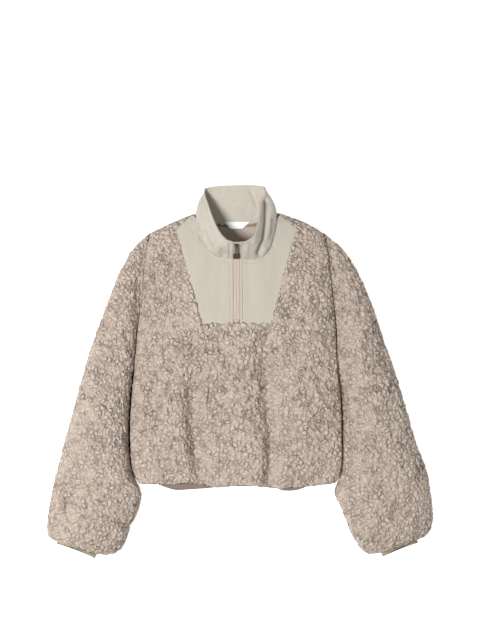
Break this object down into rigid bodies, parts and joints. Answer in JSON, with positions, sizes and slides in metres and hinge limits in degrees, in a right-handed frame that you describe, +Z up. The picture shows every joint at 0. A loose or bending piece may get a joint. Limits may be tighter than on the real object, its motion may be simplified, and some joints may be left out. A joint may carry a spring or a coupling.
{
  "type": "sherpa fleece quarter-zip pullover",
  "caption": "Cropped sherpa fleece pullover laid flat, with a woven chest yoke, stand collar, short front zip and full sleeves.",
  "frame": {"origin": "on the surface the garment lies on, under the middle of the chest", "axes": "+X across the chest towards the wearer's left sleeve as seen from above, +Y towards the head, +Z up from the surface"},
  "size_m": [0.7746, 0.7462, 0.0867],
  "materials": {
    "fleece": "high curly sherpa pile, matt",
    "woven": "fine plain weave with a slight sheen",
    "zip_tape": "fine herringbone tape",
    "zip_metal": "dark plated metal",
    "pull_tip": "matt moulded plastic",
    "label": "smooth woven satin",
    "facing": "smooth knit backing",
    "binding": "narrow elastic binding"
  },
  "bodies": {
    "garment": {"front_body": "fleece", "back_body": "fleece", "sleeve_left": "fleece", "sleeve_right": "fleece", "cuff_left": "binding", "cuff_right": "binding", "yoke_left": "woven", "yoke_right": "woven", "collar": "woven", "zip_tape_left": "zip_tape", "zip_tape_right": "zip_tape", "zip_slider": "zip_metal", "neck_label": "label", "back_neck_facing": "facing", "back_hem_facing": "facing"},
    "pull_tab": {"zip_pull": "pull_tip"}
  },
  "joints": [
    {"name": "pull_tab_swing", "type": "hinge", "parent": "garment", "child": "pull_tab", "pos_m": [0, 0.20365, 0.08169], "axis": [-1, 0, 0], "range_deg": [0, 165]}
  ]
}
